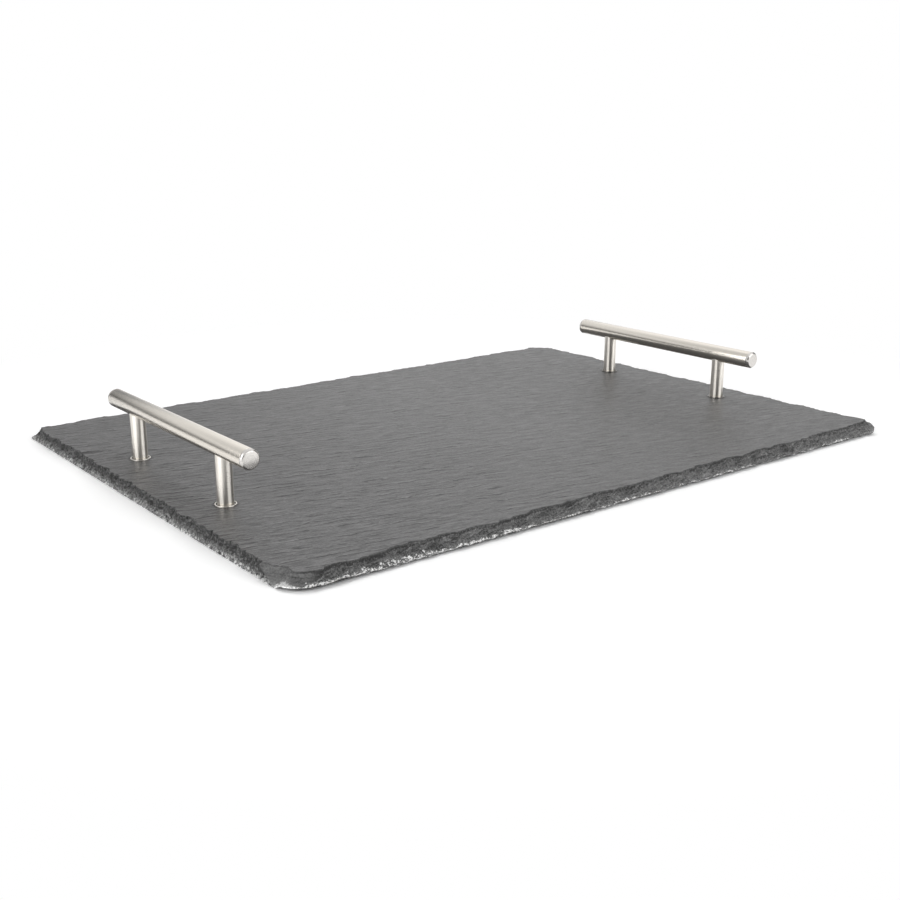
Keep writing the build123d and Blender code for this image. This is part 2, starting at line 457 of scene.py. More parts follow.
def slateMaterial():
    finish = slateFinish
    material, wire, place = newMaterial("slate")
    depth, grainy, smooth = (
        wire.node("ShaderNodeAttribute", {"attribute_name": name}, {}, 2) for name in edgeMarks
    )
    onEdge = depth.band(finish["edgeFrom"], finish["edgeTo"])
    hollow = finish["hollowShadeDark"] * depth.band(finish["hollowShadeFrom"], finish["hollowShadeTo"])  # painted shade in the hollow under the lip
    tone, rough, relief = faceTone(wire, place)
    broken, edgeRelief = brokenTone(wire, place, depth, grainy, smooth)
    shade = onEdge.blend(tone * finish["stone"], broken * finish["brokenStone"])
    shade = shade * (1 - hollow * (1 - grainy * (1 - smooth)))
    red = shade * (1 + finish["warmFace"] * (1 - onEdge))
    blue = shade * (1 - finish["warmEdge"] * onEdge)
    finishSurface(wire, {
        "Base Color": wire.node("ShaderNodeCombineColor", {}, {0: red, 1: shade, 2: blue}),
        "Roughness": finish["roughness"] + onEdge.blend(rough, finish["edgeRougher"]),
        "Normal": bumped(wire, onEdge.blend(relief, edgeRelief), finish["reliefUnit"]),
    })
    return material


brushedFinish = {  # scratch: its size along X, Y and Z
    "satinSteel": {
        "colour": (0.81, 0.765, 0.695), "scratch": (0.007, 0.00025, 0.007),
        "roughness": 0.19, "scratchDepth": 0.00005,
    },
    "polishedSteel": {
        "colour": (0.92, 0.88, 0.815), "scratch": (0.006, 0.006, 0.0003),
        "roughness": 0.30, "scratchDepth": 0.00001, "brushing": 0.9, "shadedWashers": True,
    },
    "plainSteel": {
        "colour": (0.55, 0.55, 0.55), "scratch": (0.001, 0.001, 0.001),
        "roughness": 0.38, "scratchDepth": 0.00002,
    },
}
brushedMarks = {"detail": 3.0, "roughness": 0.6, "darker": 0.88, "gloss": 0.10}
brushedHaze = {"size": (0.02, 0.02, 0.02), "gloss": 0.05}
washerShadePainted = {
    "from": (0.00402, 0.00408), "to": (0.00470, 0.00480),  # painted shade in their grooves, from the post's axis
    "right": (0.75, -0.01, 0.01), "level": 0.02,  # and painted shade on all of the right ones
}


# darkens the washers: painted shade in their grooves and on the right ones
def paintedWasherShade(place, shade):
    shadeLook = washerShadePainted
    seat = fromPosts(place)
    rightShade = seat.step(*shadeLook["from"]) * place.axis(0).rise(*shadeLook["right"])
    return seat.band(shadeLook["from"], shadeLook["to"]).most(rightShade).tint(shade, grey(shadeLook["level"]))


def brushedSteel(name):
    look = brushedFinish[name]
    material, wire, place = newMaterial(name)
    marks = pattern(wire, place, {"size": look["scratch"], **brushedMarks})
    haze = pattern(wire, place, brushedHaze)
    darker = tuple(brushedMarks["darker"] * channel for channel in look["colour"])
    shade = marks.tint((*darker, 1.0), (*look["colour"], 1.0))
    varied = brushedMarks["gloss"] * (marks - 0.5) + brushedHaze["gloss"] * (haze - 0.5)
    finishSurface(wire, {
        # washers get painted shade in their grooves and on the right ones
        "Base Color": paintedWasherShade(place, shade) if look.get("shadedWashers") else shade,
        "Metallic": 1.0,
        "Roughness": look["roughness"] + varied,
        "Anisotropic": look.get("brushing", 0.0),
        "Anisotropic Rotation": 0.25,  # the brushing runs round an upright piece
        "Normal": bumped(wire, marks, look["scratchDepth"]),
    })
    return material


turnedFinish = {
    "colour": (0.74, 0.71, 0.67, 1.0), "ringColour": grey(0.66, 0.025),
    "ringsPerMetre": 5200.0, "ringDepth": 0.000004,
    "roughness": 0.26, "ringGloss": 0.14,
}


def turnedSteel():  # fine rings round the end caps' faces
    look = turnedFinish
    material, wire, place = newMaterial("turnedSteel")
    across = abs(place.axis(0)) - handleX
    up = place.axis(2) - barZ
    out = (across ** 2 + up ** 2) ** 0.5
    values = {"W": out, "Scale": look["ringsPerMetre"], "Detail": 2.0}
    rings = wire.node("ShaderNodeTexNoise", {"noise_dimensions": "1D"}, values)
    finishSurface(wire, {
        "Base Color": rings.tint(look["ringColour"], look["colour"]),
        "Metallic": 1.0,
        "Roughness": look["roughness"] + look["ringGloss"] * (rings - 0.5),
        "Normal": bumped(wire, rings, look["ringDepth"]),
    })
    return material


rubberFinish = {
    "pores": {"size": (0.0008, 0.0008, 0.0008), "detail": 3.0, "roughness": 0.6},
    "levels": (0.018, 0.035), "roughness": 0.7, "poreGloss": 0.2, "poreDepth": 0.0001,
}


def footRubber():
    look = rubberFinish
    material, wire, place = newMaterial("footRubber")
    pores = pattern(wire, place, look["pores"])
    dark, light = look["levels"]
    finishSurface(wire, {
        "Base Color": pores.tint(grey(dark), grey(light)),
        "Roughness": look["roughness"] + look["poreGloss"] * (pores - 0.5),
        "Normal": bumped(wire, pores, look["poreDepth"]),
    })
    return material


finishes = {
    "slate": slateMaterial(),
    "satin_steel": brushedSteel("satinSteel"),
    "polished_steel": brushedSteel("polishedSteel"),
    "turned_steel": turnedSteel(),
    "plain_steel": brushedSteel("plainSteel"),
    "foot_rubber": footRubber(),
}
print("materials made:", ", ".join(finishes))


def addPiece(name, shape, sharpTurn, finish, node):  # a finished piece in place of its CAD node
    mesh = bpy.data.meshes.new(name)
    shape.to_mesh(mesh)
    shape.free()
    mesh.shade_smooth()
    mesh.set_sharp_from_angle(angle=math.radians(sharpTurn))
    mesh.materials.append(finishes[finish])
    piece = bpy.data.objects.new(name, mesh)
    bpy.context.scene.collection.objects.link(piece)
    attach(piece, "root")
    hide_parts(node)


slab = {
    "faces": (200, 230),  # of the top, along X and Y
    "rimCuts": (3, 1),  # of its rim, long and short sides
    "slopeRings": 15,
    "underRings": ((0.35, 1.15), (1.0, 1.3)),  # share of the undercut, and edgeDepth there
    "sharpTurn": 28.0,
    "topLayer": 0.002,  # the top face lies no deeper than this
    "rounds": {(-1, -1): 0.014, (1, -1): 0.002, (1, 1): 0.017, (-1, 1): 0.003},  # corners seen from above
    "settle": 0.026,  # further in, the top is undisturbed
    "frontCut": (0.0003, -0.170, -0.115),  # the front is cut back beside the near corner
    "leftCut": (0.0008, -0.080, 0.150),  # and the left side towards its far end
    "scarLength": 1.7, "scarReach": 0.72,  # scars are longer than high; their hollow's edge
    "flake": 0.0100, "flakeScoop": 0.0012,  # a struck scar's size and depth
    "chip": 0.0030, "chipScoop": 0.00045,
    "longRun": 0.0070,  # how far the dressed slope reaches in, front and back
    "browScar": 0.0024, "browChip": 0.0012,  # how far scars and chips shift that
    "browWaves": [(0.0020, 1, 0.040), (0.0006, 6, 0.0022)],  # amount, seed and size
    "shortRun": {-1: 0.0022, 1: 0.0010},  # the slope's reach on the left and on the right
    "crumbling": [(0.0011, 7, 0.011), (0.0012, 9, 0.0028), (0.0005, 12, 0.0013)],
    "leftBite": (0.0026, 5.0, 0.013), "leftBiteEnds": (0.105, 0.118),
    "rightNibble": (0.0024, 3.0, 0.015), "rightNoseEnds": (-0.144, -0.115),
    "cleftHeight": 0.00020,
    "cleftBend": (0.0015, 20, 0.030),
    "cleftWaves": [(1.0, 3.0, 0, 0.0040), (0.5, 2.5, 8, 0.0024)],  # amount, length, seed and size
    "cleftPlainer": (0.65, -0.15, 0.15),  # towards the right
    "seatRadius": 0.0055, "seatBlend": 0.006,  # level ground under a washer
    "loss": (-0.1935, 0.0755, 0.012, 0.0024, 0.0014),  # a larger chip: place, length, width, depth
    "lipHeight": 0.0008, "lipShare": 0.15, "lipWaves": (0.9, 11, 0.004),
    "ragged": [(0.0006, 2, 0.0060), (0.0004, 5, 0.0018)], "raggedMean": 0.0007,
    "leftSag": 0.0009,  # the left side reaches lower
    "undercut": 0.0010, "undercutShare": 0.3, "leftUndercut": 0.003, "undercutSteep": 2.2,
    "slopeBend": 0.9, "longSlopeBend": 0.32,  # a slope's power, less on the long sides
    "grit": (0.00012, 0.0011),  # amount and size
    "fadeIn": 6.0, "fadeOut": 5.0, "fadeEnd": 1.12,  # less relief at the brow and the lip
    "crumbs": [(0.00050, 0.0030), (0.00045, 0.0014)], "browLoss": 0.0002,
    "holeRadius": 0.0023, "sinkRadius": 0.00425, "holeSegments": 32, "holeClear": 0.7, "holeSearch": 0.012,
}
nearScoop = {  # a smooth scoop takes the near corner
    "start": -0.1215, "blend": 0.002, "length": 0.0165,  # along the left side, from here on
    "endsX": (-0.195, -0.187),
    "run": 0.0068, "runPower": 2.2,  # how far in its brow ends, at the tongue's tip
    "tip": (-0.196, -0.144), "tipKept": (0.45, 0.0, 0.012),
    "profile": (0.05, 15, 1), "thinnest": 0.08,
    "smoothReach": 1.15, "smoothBlend": (-0.12, 0.02), "smoothing": 0.85,
    "cutY": (-0.1405, -0.1365), "cutX": (-0.180, -0.160),  # where the corner's cut runs
    "lip": 0.0007,  # its lip stands higher, over a deeper hollow
}
rightEnd = {  # the front's right end is rounded over
    "run": (0.0018, 0.188, 0.199), "lipEnds": (0.188, 0.198), "slopeEnds": (0.188, 0.1985),
    "profile": (0.15, 12, 3),
    "tuck": 0.0030, "tuckFrom": 0.60,  # the right side leans in below its nose
}

slateLow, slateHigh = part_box("slate_board")
slateHalf = Vector((slateHigh.x, slateHigh.y))


def wander(x, y, z, size):  # smooth noise, about -1 to 1
    return noise.noise(Vector((x, y, z)) / size)


def waves(x, y, kinds):  # several of them, each by its amount
    return sum(amount * wander(x, y, seed, size) for amount, seed, size in kinds)


def scoop(x, y, z, size):  # 1 in a scar's hollow, 0 on the ridges
    distance = noise.voronoi(Vector((x / slab["scarLength"], y, z)) / size)[0][0]
    return max(1 - (distance / slab["scarReach"]) ** 2, 0.0)


def clipped(value):
    return min(max(value, 0.0), 1.0)


def eased(value, low, high):  # 0 below low, 1 above high, smooth between
    share = clipped((value - low) / (high - low))
    return share * share * (3 - 2 * share)


def raised(value, amount, low, high):
    return amount * eased(value, low, high)


def lowered(value, amount, low, high):
    return amount * (1 - eased(value, low, high))


def ledge(share, first, steep, power):  # a quick first drop, then the rest
    return first * min(steep * share, 1.0) + (1 - first) * share ** power


def longRunAt(x, way):  # slope's reach on the front or back, scalloped
    scar = scoop(x, way * slateHalf.y, slateHigh.z, slab["flake"])
    chip = scoop(x, way * slateHalf.y, slateHigh.z, slab["chip"])
    blunt = raised(x, *rightEnd["run"]) if way < 0 else 0.0
    shift = slab["browScar"] * (scar - 0.5) + slab["browChip"] * (chip - 0.5)
    return slab["longRun"] + shift + waves(x, way, slab["browWaves"]) + blunt


def shortRunAt(y, way):  # slope's reach on the left or right, crumbled
    crumbled = slab["shortRun"][way] + waves(y, way, slab["crumbling"])
    if way < 0:
        amount, seed, size = slab["leftBite"]
        bite = amount * scoop(0.0, y, seed, size) ** 2 * (1 - eased(-y, *slab["leftBiteEnds"]))
        hollow = scoopedDown(y) ** nearScoop["runPower"] * scooped(Vector((way * slateHalf.x, y)))
        return crumbled + nearScoop["run"] * hollow + bite
    amount, seed, size = slab["rightNibble"]
    return (crumbled + amount * scoop(0.0, y, seed, size)) * eased(y, *slab["rightNoseEnds"])


def scooped(spot):  # 1 in the near corner's smooth scoop, 0 elsewhere
    along = 1 - eased(spot.y, nearScoop["start"] - nearScoop["blend"], nearScoop["start"])
    return along * (1 - eased(spot.x, *nearScoop["endsX"]))


def scoopedDown(y):  # how far down the scoop has come, 0 to 1
    return clipped((nearScoop["start"] - y) / nearScoop["length"])


def nearCorner(spot):  # 1 along the near corner's cut, 0 elsewhere
    return (1 - eased(spot.y, *nearScoop["cutY"])) * (1 - eased(spot.x, *nearScoop["cutX"]))


def smoothAt(spot, share):  # 1 on the near corner's scar, 0 beside it
    reach = nearScoop["smoothReach"] * scoopedDown(spot.y)
    above, below = nearScoop["smoothBlend"]
    return scooped(spot) * (1 - eased(share, reach + above, reach + below))


def settled(distance):  # 1 at the outline, 0 well inside
    return 1 - eased(distance, 0.0, slab["settle"])


def cutBack(x, y):  # where the sides were trimmed closer
    front = lowered(x, *slab["frontCut"]) * settled(slateHalf.y + y)
    left = raised(y, *slab["leftCut"]) * settled(slateHalf.x + x)
    return Vector((left, front))


def roundedPlace(gridX, gridY):  # from the unit grid to the rounded outline
    x = gridX * slateHalf.x
    y = gridY * slateHalf.y
    wayX = 1 if x > 0 else -1
    wayY = 1 if y > 0 else -1
    radius = slab["rounds"][wayX, wayY]
    a = (abs(x) - slateHalf.x + radius) / radius
    b = (abs(y) - slateHalf.y + radius) / radius
    if a > 0 and b > 0:  # a corner's square, pressed into its round
        across = a * math.sqrt(1 - b * b / 2)
        up = b * math.sqrt(1 - a * a / 2)
        x = wayX * (slateHalf.x - radius + radius * across)
        y = wayY * (slateHalf.y - radius + radius * up)
        out = Vector((wayX * across, wayY * up)).normalized()
    elif abs(gridX) > abs(gridY):
        out = Vector((wayX, 0.0))
    else:
        out = Vector((0.0, wayY))
    return Vector((x, y)) + cutBack(x, y), out


def alongGrain(x, y):
    across = y * math.cos(grainTurn) - x * math.sin(grainTurn)
    return x * math.cos(grainTurn) + y * math.sin(grainTurn), across


def lossAt(x, y):  # how deep the larger chip goes here
    lossX, lossY, length, width, deep = slab["loss"]
    along, across = alongGrain(x - lossX, y - lossY)
    return max(deep * (1 - (along / length) ** 2 - (across / width) ** 2), 0.0)


def cleftAt(x, y):  # the split face's ripple, along the grain
    along, across = alongGrain(x, y)
    amount, seed, size = slab["cleftBend"]
    across += amount * wander(along, across, seed, size)
    kinds = slab["cleftWaves"]
    return sum(share * wander(along / length, across, mark, width) for share, length, mark, width in kinds)


def topPlace(spot):  # the top face, drawn in from the outline
    x, y = spot
    wayX = 1 if x > 0 else -1
    wayY = 1 if y > 0 else -1
    kept = 1 - lowered(math.dist((x, y), nearScoop["tip"]), *nearScoop["tipKept"])
    drawnX = x - wayX * kept * shortRunAt(y, wayX) * settled(slateHalf.x - abs(x))
    drawnY = y - wayY * kept * longRunAt(x, wayY) * settled(slateHalf.y - abs(y))
    seat = min(math.dist((drawnX, drawnY), hole) for hole in holes)
    level = clipped((seat - slab["seatRadius"]) / slab["seatBlend"])
    bold = 1 - raised(drawnX, *slab["cleftPlainer"])
    cleft = slab["cleftHeight"] * bold * level * (cleftAt(drawnX, drawnY) - 0.5)
    return Vector((drawnX, drawnY, slateHigh.z + cleft - lossAt(drawnX, drawnY)))


def lipPlace(spot, out):  # the slope's lower end, ragged on all sides but the left
    leftness = max(-out.x, 0.0) ** 2
    corner = nearCorner(spot)
    ragged = max(waves(spot.x, spot.y, slab["ragged"]) + slab["raggedMean"], 0.0)
    ragged *= (1 - leftness) * (1 - corner) * (1 - eased(spot.x, *rightEnd["lipEnds"]))
    lip = Vector((*(spot - out * ragged), slateLow.z))
    lift = slab["lipHeight"] * (slab["lipShare"] + (1 - slab["lipShare"]) * out.y ** 2)
    lift *= 1 + waves(spot.x, spot.y, [slab["lipWaves"]])
    lip.z += lift * (1 - leftness) + nearScoop["lip"] * corner - slab["leftSag"] * leftness * (1 - corner)
    return lip


def slopeMove(place, share, longness, blunt):  # scars on the long sides, crumbs on the short ones
    amount, size = slab["grit"]
    scars = slab["flakeScoop"] * scoop(*place, slab["flake"])
    scars += slab["chipScoop"] * scoop(*place, slab["chip"]) + amount * wander(*place, size)
    crumbs = sum(height * wander(*place, width) for height, width in slab["crumbs"])
    return (1 - longness) * (crumbs - slab["browLoss"] * (1 - share)) - longness * (1 - blunt) * scars


def slopePlace(top, spot, out, share):  # from the brow (share 0) to the lip (share 1)
    longness = out.y ** 2
    lip = lipPlace(spot, out)
    inScoop = scooped(spot)
    blunt = eased(spot.x, *rightEnd["slopeEnds"])
    drop = share ** (slab["slopeBend"] - slab["longSlopeBend"] * longness)
    drop = drop * (1 - blunt) + ledge(share, *rightEnd["profile"]) * blunt
    drop = drop * (1 - inScoop) + ledge(share, *nearScoop["profile"]) * inScoop
    thinned = min(share / max(scoopedDown(spot.y), nearScoop["thinnest"]), 1.0)
    place = top.lerp(lip, share * (1 - inScoop) + thinned * inScoop)
    place.z = top.z + (lip.z - top.z) * drop
    slope = lip - top
    outward = Vector((out.x * -slope.z, out.y * -slope.z, math.hypot(slope.x, slope.y))).normalized()
    move = slopeMove(place, share, longness, blunt) * (1 - nearScoop["smoothing"] * smoothAt(spot, share))
    fade = min(slab["fadeIn"] * share, 1.0) * min(slab["fadeOut"] * (slab["fadeEnd"] - share), 1.0)
    place += outward * move * fade
    place.x -= rightEnd["tuck"] * blunt * max(drop - rightEnd["tuckFrom"], 0.0) / (1 - rightEnd["tuckFrom"])
    place.x = min(max(place.x, -slateHalf.x), slateHalf.x)
    place.y = min(max(place.y, -slateHalf.y), slateHalf.y)
    place.z = max(place.z, cadLow.z)
    return place


def underPlace(lip, spot, out, share):  # a hollow under the lip, then the level underside
    corner = nearCorner(spot)
    hollow = slab["undercutShare"] + (1 - slab["undercutShare"]) * out.y ** 2 + corner
    leftHollow = slab["leftUndercut"] * max(-out.x, 0.0) ** 2 * (1 - corner)
    tuck = (slab["undercut"] * hollow + leftHollow) * share
    level = lip.z + (slateLow.z - lip.z) * min(slab["undercutSteep"] * share, 1.0)
    return Vector((lip.x - out.x * tuck, lip.y - out.y * tuck, level))


def partsOf(made, kind):
    return [item for item in made if isinstance(item, kind)]


def ringOn(shape, ring, placeOf, mover):  # the next ring of corners
    made = bmesh.ops.extrude_edge_only(shape, edges=ring)["geom"]
    corners = partsOf(made, bmesh.types.BMVert)
    follow = {}
    for corner in corners:
        beside = (edge.other_vert(corner) for edge in corner.link_edges)
        follow[corner] = placeOf[next(before for before in beside if before in placeOf)]
    for corner, data in follow.items():
        corner.co = mover(*data)
    fresh = set(corners)
    edges = [edge for edge in partsOf(made, bmesh.types.BMEdge) if set(edge.verts) <= fresh]
    return edges, follow


def circleAt(shape, place, radius):
    made = bmesh.ops.create_circle(
        shape, segments=slab["holeSegments"], radius=radius, matrix=Matrix.Translation(place)
    )["verts"]
    return list({edge for corner in made for edge in corner.link_edges})


def boreThrough(shape, hole, underRing):  # a countersunk hole, from below
    hx, hy = hole
    clear = slab["seatRadius"] * slab["holeClear"]
    near = [face for face in shape.faces if math.dist(face.calc_center_median()[:2], hole) < clear]
    upper = [face for face in near if face.calc_center_median().z > slateHigh.z - slab["topLayer"]]
    bmesh.ops.delete(shape, geom=upper, context="FACES")
    rim = [edge for edge in shape.edges if edge.is_boundary]
    gap = [edge for edge in rim if math.dist(edge.verts[0].co[:2], hole) < slab["holeSearch"]]
    top = circleAt(shape, Vector((hx, hy, slateHigh.z)), slab["holeRadius"])
    bmesh.ops.triangle_fill(shape, edges=gap + top, use_beauty=True)
    sink = circleAt(shape, Vector((hx, hy, slateLow.z)), slab["sinkRadius"])
    made = bmesh.ops.extrude_edge_only(shape, edges=sink)["geom"]
    corners = partsOf(made, bmesh.types.BMVert)
    shrink = slab["holeRadius"] / slab["sinkRadius"]
    bmesh.ops.scale(shape, verts=corners, vec=(shrink, shrink, 1), space=Matrix.Translation((-hx, -hy, 0)))
    bmesh.ops.translate(shape, verts=corners, vec=(0, 0, slab["sinkRadius"] - slab["holeRadius"]))
    neck = [edge for edge in partsOf(made, bmesh.types.BMEdge) if set(edge.verts) <= set(corners)]
    bmesh.ops.bridge_loops(shape, edges=neck + top)
    return underRing + sink


def slateTop(shape):  # a grid with a finer rim, laid on the outline
    along, across = slab["faces"]
    bmesh.ops.create_grid(shape, x_segments=along, y_segments=across, size=1.0)
    rim = [edge for edge in shape.edges if edge.is_boundary]
    longRim = [edge for edge in rim if abs(edge.verts[0].co.y - edge.verts[1].co.y) < 1e-6]
    shortRim = [edge for edge in rim if edge not in set(longRim)]
    longCuts, shortCuts = slab["rimCuts"]
    bmesh.ops.subdivide_edges(shape, edges=longRim, cuts=longCuts)
    bmesh.ops.subdivide_edges(shape, edges=shortRim, cuts=shortCuts)
    ring = [edge for edge in shape.edges if edge.is_boundary]
    ringCorners = {corner for edge in ring for corner in edge.verts}
    placeOf = {}
    shortSide = shape.verts.layers.float["shortSide"]
    for corner in shape.verts:
        spot, out = roundedPlace(corner.co.x, corner.co.y)
        corner.co = topPlace(spot)
        corner[shortSide] = out.x ** 2
        if corner in ringCorners:
            placeOf[corner] = (corner.co.copy(), spot, out)
    print("slate top:", len(shape.verts), "corners")
    return ring, placeOf


def buildSlate():
    shape = bmesh.new()
    layers = shape.verts.layers.float
    for name in edgeMarks:
        layers.new(name)
    depth, shortSide, smoothScar = (layers[name] for name in edgeMarks)
    ring, placeOf = slateTop(shape)
    for count in range(1, slab["slopeRings"] + 1):
        share = count / slab["slopeRings"]
        ring, placeOf = ringOn(shape, ring, placeOf, lambda top, spot, out: slopePlace(top, spot, out, share))
        for corner, (top, spot, out) in placeOf.items():
            corner[depth] = share
            corner[shortSide] = out.x ** 2
            corner[smoothScar] = smoothAt(spot, share)
    placeOf = {corner: (corner.co.copy(), spot, out) for corner, (top, spot, out) in placeOf.items()}
    for share, deep in slab["underRings"]:
        ring, placeOf = ringOn(shape, ring, placeOf, lambda lip, spot, out: underPlace(lip, spot, out, share))
        for corner in placeOf:
            corner[depth] = deep
    for hole in holes:
        ring = boreThrough(shape, hole, ring)
    bmesh.ops.triangle_fill(shape, edges=ring, use_beauty=True)
    for corner in shape.verts:  # the holes count as underside
        if corner[depth] == 0 and corner.co.z < slateHigh.z - slab["topLayer"]:
            corner[depth] = slab["underRings"][-1][1]
    bmesh.ops.recalc_face_normals(shape, faces=shape.faces)
    bmesh.ops.triangulate(shape, faces=shape.faces)
    print("slate:", len(shape.faces), "triangles, open edges:", sum(edge.is_boundary for edge in shape.edges))
    addPiece("slate", shape, slab["sharpTurn"], "slate", "slate_board")


turning = {"steps": 96, "softEdge": 0.00012, "hardTurn": 0.5, "sharpTurn": 40.0}


def turned(profile, closed):  # spins a profile of (radius, height) points about Z
    shape = bmesh.new()
    corners = [shape.verts.new((radius, 0.0, height)) for radius, height in profile]
    pairs = list(zip(corners, corners[1:]))
    if closed:
        pairs.append((corners[-1], corners[0]))
    edges = [shape.edges.new(pair) for pair in pairs]
    bmesh.ops.spin(
        shape, geom=corners + edges, cent=(0, 0, 0), axis=(0, 0, 1),
        angle=math.tau, steps=turning["steps"], use_merge=True, use_duplicate=False,
    )
    bmesh.ops.remove_doubles(shape, verts=shape.verts, dist=1e-7)
    bmesh.ops.recalc_face_normals(shape, faces=shape.faces)
    return shape


def soften(shape, width, segments=2):  # a small round on every hard edge
    inner = [edge for edge in shape.edges if len(edge.link_faces) == 2]
    hard = [edge for edge in inner if edge.calc_face_angle() > turning["hardTurn"]]
    bmesh.ops.bevel(
        shape, geom=hard, offset=width, offset_type="OFFSET", affect="EDGES",
        segments=segments, profile=0.5, material=-1,
    )


barShape = {"wall": 0.001}


def buildBar(side):
    node = f"{side}_bar"
    low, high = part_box(node)
    radius = (high.x - low.x) / 2
    half = (high.y - low.y) / 2
    bore = radius - barShape["wall"]
    shape = turned([(bore, -half), (radius, -half), (radius, half), (bore, half)], True)
    soften(shape, turning["softEdge"])
    shape.transform(Matrix.Translation(middle(node)) @ Matrix.Rotation(math.pi / 2, 4, "X"))
    addPiece(f"{side}Bar", shape, turning["sharpTurn"], "satin_steel", node)


capShape = {"chamfer": 0.0009, "rim": 0.0020, "step": 0.00105}  # step: from the rim in to the plug


def buildCap(side, end):
    node = f"{side}_{end}_end_cap"
    low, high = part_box(node)
    radius = (high.x - low.x) / 2
    length = high.y - low.y
    plug = radius - capShape["step"]
    rim = length - capShape["rim"]
    chamfer = capShape["chamfer"]
    profile = [
        (0, 0), (plug, 0), (plug, rim), (radius, rim),
        (radius, length - chamfer), (radius - chamfer, length), (0, length),
    ]
    shape = turned(profile, False)
    soften(shape, turning["softEdge"])
    x, y, z = middle(node)
    turn = Matrix.Rotation(-math.pi / 2 * ends[end], 4, "X")
    shape.transform(Matrix.Translation((x, y - ends[end] * length / 2, z)) @ turn)
    addPiece(f"{side}{end.title()}Cap", shape, turning["sharpTurn"], "turned_steel", node)


postShape = {"footChamfer": 0.0003}


def buildPost(side, end):
    node = f"{side}_{end}_post"
    low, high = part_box(node)
    radius = (high.x - low.x) / 2
    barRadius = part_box(f"{side}_bar")[1].z - barZ
    foot = postShape["footChamfer"]
    height = barZ - low.z
    shape = turned([(0, 0), (radius - foot, 0), (radius, foot), (radius, height), (0, height)], False)
    for corner in shape.verts:
        if corner.co.z > height / 2:  # the saddle follows the bar's underside
            corner.co.z = height - math.sqrt(barRadius ** 2 - corner.co.x ** 2)
    shape.transform(Matrix.Translation((*middle(node)[:2], low.z)))
    addPiece(f"{side}{end.title()}Post", shape, turning["sharpTurn"], "polished_steel", node)


washerShape = {
    "radius": 0.0053, "edge": 0.00040, "chamfer": 0.00012,  # a thin rim
    "rim": 0.00055, "groove": 0.00065,  # a shallow groove inside it, which the steel finish paints dark as shade
    "land": 0.0040, "bore": 0.0023,  # the post stands on the land
    "sharpTurn": 30.0,
}


def buildWashers():
    low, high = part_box("post_washers")
    radius, edge, chamfer = (washerShape[name] for name in ("radius", "edge", "chamfer"))
    land, bore = washerShape["land"], washerShape["bore"]
    rim = radius - washerShape["rim"]
    top = high.z - low.z
    floor = top - washerShape["groove"]
    profile = [
        (bore, 0), (radius, 0), (radius, edge - chamfer), (radius - chamfer, edge),
        (rim, edge), (rim, floor), (land, floor), (land, top), (bore, top),
    ]
    whole = bmesh.new()
    for hx, hy in holes:
        ring = turned(profile, True)
        ring.transform(Matrix.Translation((hx, hy, low.z)))
        part = bpy.data.meshes.new("washerRing")
        ring.to_mesh(part)
        ring.free()
        whole.from_mesh(part)
        bpy.data.meshes.remove(part)
    addPiece("postWashers", whole, washerShape["sharpTurn"], "polished_steel", "post_washers")


footShape = {"softEdge": 0.0004, "softSegments": 4}


def buildFoot(side, end):
    node = f"{side}_{end}_foot"
    low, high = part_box(node)
    radius = (high.x - low.x) / 2
    height = high.z - low.z
    shape = turned([(0, 0), (radius, 0), (radius, height), (0, height)], False)
    soften(shape, footShape["softEdge"], footShape["softSegments"])
    shape.transform(Matrix.Translation((*middle(node)[:2], low.z)))
    addPiece(f"{side}{end.title()}Foot", shape, turning["sharpTurn"], "foot_rubber", node)


buildSlate()
for side in sides:
    buildBar(side)
    for end in ends:
        buildCap(side, end)
        buildPost(side, end)
        buildFoot(side, end)
buildWashers()
for part in frame["record"]["subparts"]:  # CAD nodes that stay take the same finishes
    stays = frame["nodes"][part["node"]]
    stays.data.materials.clear()
    stays.data.materials.append(finishes[part["material_slot"]])


studio = {
    "floorSize": 40.0,
    "floorLevel": 0.94,  # what it gives back to the board
    "seenLevel": 1.17,  # and how white it is seen
    "plainNear": 0.26,  # the floor shows its own shading up to here
    "plainFar": 0.40,  # and is plain white from here on
    "ambient": 0.20,
    "panel": {"place": (0.68, 1.25, 1.50), "size": (1.6, 2.2), "level": 2.6},  # level: how bright its face is
    "softLights": {  # degrees to the right of the viewer, and up; metres away
        "leftSoft": {"turn": -46, "rise": 22, "away": 1.25, "size": (1.1, 0.9), "level": 2.6},
        "rightSoft": {"turn": 64, "rise": 22, "away": 1.25, "size": (1.15, 0.9), "level": 2.6},
    },
    "towards": (-0.613, -0.790, 0.0),  # from the board to the viewer
    "rightHand": (0.790, -0.613, 0.0),  # and to the viewer's right
    "roundabout": [  # the room's level by degrees to the right of the viewer
        (-180, 1.12), (-150, 1.0), (-88, 0.3), (-70, 0.3), (-30, 0.3), (-8, 0.04), (18, 0.04),
        (30, 0.3), (90, 0.3), (105, 0.12), (140, 0.12), (156, 1.0), (180, 1.12),
    ],
    "backWall": [  # a wall's level by its height, 1 straight up
        (0.0, 0.06), (0.06, 0.09), (0.12, 0.27), (0.28, 0.60),
        (0.42, 0.92), (0.50, 0.92), (0.65, 0.84), (0.9, 0.75),
    ],
    "wallSpan": [(-180, 0.0), (-174, 0.0), (-158, 1.0), (-88, 1.0), (-72, 0.0), (180, 0.0)],
    "ceiling": [
        (-180, 1.2), (-160, 1.12), (-140, 0.92), (-115, 0.76),
        (-95, 0.70), (0, 0.80), (90, 0.84), (180, 1.2),
    ],
    "ceilingFrom": (0.45, 0.65),
}


def ramped(wire, factor, stops):
    greys = [(place, grey(level)) for place, level in stops]
    return wire.node("ShaderNodeValToRGB", {"stops": greys}, {0: factor})


def turnStops(stops):  # degrees to a ramp's places
    return [((degrees + 180) / 360, level) for degrees, level in stops]


